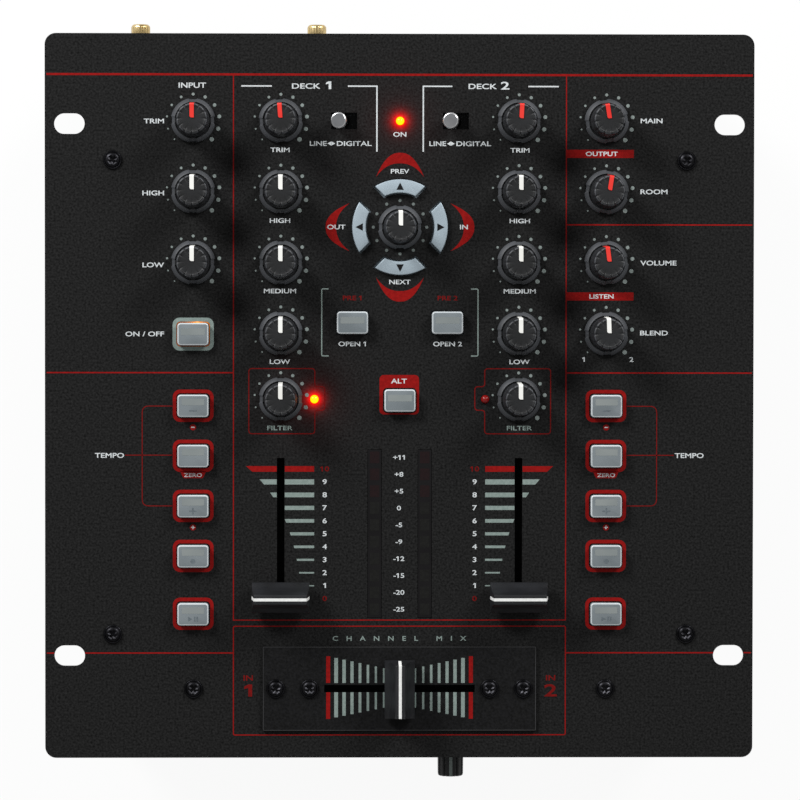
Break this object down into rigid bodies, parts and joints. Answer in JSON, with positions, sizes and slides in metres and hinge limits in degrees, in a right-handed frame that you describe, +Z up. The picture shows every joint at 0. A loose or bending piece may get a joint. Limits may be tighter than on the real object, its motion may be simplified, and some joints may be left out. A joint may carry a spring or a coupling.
{
  "type": "dj mixer",
  "caption": "Black half-rack battle mixer with knobs, push buttons, browse keys, toggles, channel faders, a crossfader and level meters on a rack panel over a steel case.",
  "frame": {"origin": "under the middle of the panel, on the plane that the feet stand on", "axes": "+Z up out of the panel, +Y to the rear wall with the sockets, +X to the user's right"},
  "size_m": [0.254, 0.2769, 0.1066],
  "materials": {
    "panel_paint": "satin",
    "case_paint": "satin",
    "knob_plastic": "matte",
    "button_plastic": "satin",
    "key_silver": "satin",
    "fader_plastic": "matte",
    "chrome": "polished",
    "lens": "gloss",
    "board": "satin",
    "plated_steel": "satin",
    "inner_plastic": "matte",
    "socket_plastic": "satin",
    "gold_plate": "polished",
    "rubber": "matte",
    "black_steel": "satin"
  },
  "bodies": {
    "mixer_case": {"faceplate": "panel_paint", "chassis_tray": "case_paint", "rear_panel": "case_paint", "crossfader_plate": "panel_paint", "circuit_boards": "board", "board_standoffs": "plated_steel", "fader_frames": "plated_steel", "potentiometers": "inner_plastic", "button_switches": "inner_plastic", "toggle_bodies": "inner_plastic", "browse_encoder": "inner_plastic", "indicator_lenses": "lens", "phono_sockets": "socket_plastic", "ground_posts": "gold_plate", "jack_sockets": "socket_plastic", "power_and_usb_sockets": "socket_plastic", "rubber_feet": "rubber", "case_screws": "black_steel"},
    "mic_gain_knob": {"mic_gain_knob": "knob_plastic"},
    "mic_treble_knob": {"mic_treble_knob": "knob_plastic"},
    "mic_bass_knob": {"mic_bass_knob": "knob_plastic"},
    "channel_one_gain_knob": {"channel_one_gain_knob": "knob_plastic"},
    "channel_one_treble_knob": {"channel_one_treble_knob": "knob_plastic"},
    "channel_one_mid_knob": {"channel_one_mid_knob": "knob_plastic"},
    "channel_one_bass_knob": {"channel_one_bass_knob": "knob_plastic"},
    "channel_one_filter_knob": {"channel_one_filter_knob": "knob_plastic"},
    "channel_two_gain_knob": {"channel_two_gain_knob": "knob_plastic"},
    "channel_two_treble_knob": {"channel_two_treble_knob": "knob_plastic"},
    "channel_two_mid_knob": {"channel_two_mid_knob": "knob_plastic"},
    "channel_two_bass_knob": {"channel_two_bass_knob": "knob_plastic"},
    "channel_two_filter_knob": {"channel_two_filter_knob": "knob_plastic"},
    "master_knob": {"master_knob": "knob_plastic"},
    "booth_knob": {"booth_knob": "knob_plastic"},
    "phones_level_knob": {"phones_level_knob": "knob_plastic"},
    "phones_mix_knob": {"phones_mix_knob": "knob_plastic"},
    "browse_knob": {"browse_knob": "knob_plastic"},
    "fader_curve_knob": {"fader_curve_knob": "knob_plastic"},
    "mic_button": {"mic_button": "button_plastic"},
    "left_pitch_down_button": {"left_pitch_down_button": "button_plastic"},
    "left_bend_button": {"left_bend_button": "button_plastic"},
    "left_pitch_up_button": {"left_pitch_up_button": "button_plastic"},
    "left_cue_button": {"left_cue_button": "button_plastic"},
    "left_play_button": {"left_play_button": "button_plastic"},
    "right_pitch_down_button": {"right_pitch_down_button": "button_plastic"},
    "right_bend_button": {"right_bend_button": "button_plastic"},
    "right_pitch_up_button": {"right_pitch_up_button": "button_plastic"},
    "right_cue_button": {"right_cue_button": "button_plastic"},
    "right_play_button": {"right_play_button": "button_plastic"},
    "load_left_button": {"load_left_button": "button_plastic"},
    "load_right_button": {"load_right_button": "button_plastic"},
    "shift_button": {"shift_button": "button_plastic"},
    "browse_up_key": {"browse_up_key": "key_silver"},
    "browse_back_key": {"browse_back_key": "key_silver"},
    "browse_down_key": {"browse_down_key": "key_silver"},
    "browse_forward_key": {"browse_forward_key": "key_silver"},
    "left_input_toggle": {"left_input_toggle": "chrome"},
    "right_input_toggle": {"right_input_toggle": "chrome"},
    "left_channel_fader": {"left_channel_fader": "fader_plastic"},
    "right_channel_fader": {"right_channel_fader": "fader_plastic"},
    "crossfader": {"crossfader": "fader_plastic"}
  },
  "joints": [
    {"name": "mic_gain_knob_turn", "type": "hinge", "parent": "mixer_case", "child": "mic_gain_knob", "pos_m": [-0.074, 0.0986, 0.09], "axis": [0, 0, -1], "range_deg": [-135, 135]},
    {"name": "mic_treble_knob_turn", "type": "hinge", "parent": "mixer_case", "child": "mic_treble_knob", "pos_m": [-0.074, 0.07325, 0.09], "axis": [0, 0, -1], "range_deg": [-135, 135]},
    {"name": "mic_bass_knob_turn", "type": "hinge", "parent": "mixer_case", "child": "mic_bass_knob", "pos_m": [-0.074, 0.0479, 0.09], "axis": [0, 0, -1], "range_deg": [-135, 135]},
    {"name": "channel_one_gain_knob_turn", "type": "hinge", "parent": "mixer_case", "child": "channel_one_gain_knob", "pos_m": [-0.04265, 0.0986, 0.09], "axis": [0, 0, -1], "range_deg": [-131, 139]},
    {"name": "channel_one_treble_knob_turn", "type": "hinge", "parent": "mixer_case", "child": "channel_one_treble_knob", "pos_m": [-0.04265, 0.07325, 0.09], "axis": [0, 0, -1], "range_deg": [-135, 135]},
    {"name": "channel_one_mid_knob_turn", "type": "hinge", "parent": "mixer_case", "child": "channel_one_mid_knob", "pos_m": [-0.04265, 0.0479, 0.09], "axis": [0, 0, -1], "range_deg": [-135, 135]},
    {"name": "channel_one_bass_knob_turn", "type": "hinge", "parent": "mixer_case", "child": "channel_one_bass_knob", "pos_m": [-0.04265, 0.02255, 0.09], "axis": [0, 0, -1], "range_deg": [-135, 135]},
    {"name": "channel_one_filter_knob_turn", "type": "hinge", "parent": "mixer_case", "child": "channel_one_filter_knob", "pos_m": [-0.04265, -0.001, 0.09], "axis": [0, 0, -1], "range_deg": [-135, 135]},
    {"name": "channel_two_gain_knob_turn", "type": "hinge", "parent": "mixer_case", "child": "channel_two_gain_knob", "pos_m": [0.04265, 0.0986, 0.09], "axis": [0, 0, -1], "range_deg": [-138, 132]},
    {"name": "channel_two_treble_knob_turn", "type": "hinge", "parent": "mixer_case", "child": "channel_two_treble_knob", "pos_m": [0.04265, 0.07325, 0.09], "axis": [0, 0, -1], "range_deg": [-135, 135]},
    {"name": "channel_two_mid_knob_turn", "type": "hinge", "parent": "mixer_case", "child": "channel_two_mid_knob", "pos_m": [0.04265, 0.0479, 0.09], "axis": [0, 0, -1], "range_deg": [-135, 135]},
    {"name": "channel_two_bass_knob_turn", "type": "hinge", "parent": "mixer_case", "child": "channel_two_bass_knob", "pos_m": [0.04265, 0.02255, 0.09], "axis": [0, 0, -1], "range_deg": [-135, 135]},
    {"name": "channel_two_filter_knob_turn", "type": "hinge", "parent": "mixer_case", "child": "channel_two_filter_knob", "pos_m": [0.04265, -0.001, 0.09], "axis": [0, 0, -1], "range_deg": [-135, 135]},
    {"name": "master_knob_turn", "type": "hinge", "parent": "mixer_case", "child": "master_knob", "pos_m": [0.074, 0.0986, 0.09], "axis": [0, 0, -1], "range_deg": [-126, 144]},
    {"name": "booth_knob_turn", "type": "hinge", "parent": "mixer_case", "child": "booth_knob", "pos_m": [0.074, 0.07325, 0.09], "axis": [0, 0, -1], "range_deg": [-144, 126]},
    {"name": "phones_level_knob_turn", "type": "hinge", "parent": "mixer_case", "child": "phones_level_knob", "pos_m": [0.074, 0.0479, 0.09], "axis": [0, 0, -1], "range_deg": [-128, 142]},
    {"name": "phones_mix_knob_turn", "type": "hinge", "parent": "mixer_case", "child": "phones_mix_knob", "pos_m": [0.074, 0.02255, 0.09], "axis": [0, 0, -1], "range_deg": [-133, 137]},
    {"name": "browse_knob_turn", "type": "hinge", "parent": "mixer_case", "child": "browse_knob", "pos_m": [0, 0.0606, 0.09], "axis": [0, 0, -1], "continuous": true},
    {"name": "fader_curve_turn", "type": "hinge", "parent": "mixer_case", "child": "fader_curve_knob", "pos_m": [0.0193, -0.12325, 0.06], "axis": [0, 1, 0], "range_deg": [-135, 135]},
    {"name": "mic_button_press", "type": "slide", "parent": "mixer_case", "child": "mic_button", "axis": [0, 0, -1], "range_m": [0, 0.0006], "stiffness_N_per_m": 400},
    {"name": "left_pitch_down_button_press", "type": "slide", "parent": "mixer_case", "child": "left_pitch_down_button", "axis": [0, 0, -1], "range_m": [0, 0.0006], "stiffness_N_per_m": 400},
    {"name": "left_bend_button_press", "type": "slide", "parent": "mixer_case", "child": "left_bend_button", "axis": [0, 0, -1], "range_m": [0, 0.0006], "stiffness_N_per_m": 400},
    {"name": "left_pitch_up_button_press", "type": "slide", "parent": "mixer_case", "child": "left_pitch_up_button", "axis": [0, 0, -1], "range_m": [0, 0.0006], "stiffness_N_per_m": 400},
    {"name": "left_cue_button_press", "type": "slide", "parent": "mixer_case", "child": "left_cue_button", "axis": [0, 0, -1], "range_m": [0, 0.0006], "stiffness_N_per_m": 400},
    {"name": "left_play_button_press", "type": "slide", "parent": "mixer_case", "child": "left_play_button", "axis": [0, 0, -1], "range_m": [0, 0.0006], "stiffness_N_per_m": 400},
    {"name": "right_pitch_down_button_press", "type": "slide", "parent": "mixer_case", "child": "right_pitch_down_button", "axis": [0, 0, -1], "range_m": [0, 0.0006], "stiffness_N_per_m": 400},
    {"name": "right_bend_button_press", "type": "slide", "parent": "mixer_case", "child": "right_bend_button", "axis": [0, 0, -1], "range_m": [0, 0.0006], "stiffness_N_per_m": 400},
    {"name": "right_pitch_up_button_press", "type": "slide", "parent": "mixer_case", "child": "right_pitch_up_button", "axis": [0, 0, -1], "range_m": [0, 0.0006], "stiffness_N_per_m": 400},
    {"name": "right_cue_button_press", "type": "slide", "parent": "mixer_case", "child": "right_cue_button", "axis": [0, 0, -1], "range_m": [0, 0.0006], "stiffness_N_per_m": 400},
    {"name": "right_play_button_press", "type": "slide", "parent": "mixer_case", "child": "right_play_button", "axis": [0, 0, -1], "range_m": [0, 0.0006], "stiffness_N_per_m": 400},
    {"name": "load_left_button_press", "type": "slide", "parent": "mixer_case", "child": "load_left_button", "axis": [0, 0, -1], "range_m": [0, 0.0006], "stiffness_N_per_m": 400},
    {"name": "load_right_button_press", "type": "slide", "parent": "mixer_case", "child": "load_right_button", "axis": [0, 0, -1], "range_m": [0, 0.0006], "stiffness_N_per_m": 400},
    {"name": "shift_button_press", "type": "slide", "parent": "mixer_case", "child": "shift_button", "axis": [0, 0, -1], "range_m": [0, 0.0006], "stiffness_N_per_m": 400},
    {"name": "browse_up_key_press", "type": "slide", "parent": "mixer_case", "child": "browse_up_key", "axis": [0, 0, -1], "range_m": [0, 0.0006], "stiffness_N_per_m": 400},
    {"name": "browse_back_key_press", "type": "slide", "parent": "mixer_case", "child": "browse_back_key", "axis": [0, 0, -1], "range_m": [0, 0.0006], "stiffness_N_per_m": 400},
    {"name": "browse_down_key_press", "type": "slide", "parent": "mixer_case", "child": "browse_down_key", "axis": [0, 0, -1], "range_m": [0, 0.0006], "stiffness_N_per_m": 400},
    {"name": "browse_forward_key_press", "type": "slide", "parent": "mixer_case", "child": "browse_forward_key", "axis": [0, 0, -1], "range_m": [0, 0.0006], "stiffness_N_per_m": 400},
    {"name": "left_input_toggle_throw", "type": "hinge", "parent": "mixer_case", "child": "left_input_toggle", "pos_m": [-0.02, 0.0986, 0.0835], "axis": [0, 1, 0], "range_deg": [0, 24]},
    {"name": "right_input_toggle_throw", "type": "hinge", "parent": "mixer_case", "child": "right_input_toggle", "pos_m": [0.02, 0.0986, 0.0835], "axis": [0, 1, 0], "range_deg": [0, 24]},
    {"name": "left_channel_fader_slide", "type": "slide", "parent": "mixer_case", "child": "left_channel_fader", "axis": [0, 1, 0], "range_m": [0, 0.045]},
    {"name": "right_channel_fader_slide", "type": "slide", "parent": "mixer_case", "child": "right_channel_fader", "axis": [0, 1, 0], "range_m": [0, 0.045]},
    {"name": "crossfader_slide", "type": "slide", "parent": "mixer_case", "child": "crossfader", "axis": [1, 0, 0], "range_m": [-0.0225, 0.0225]}
  ]
}
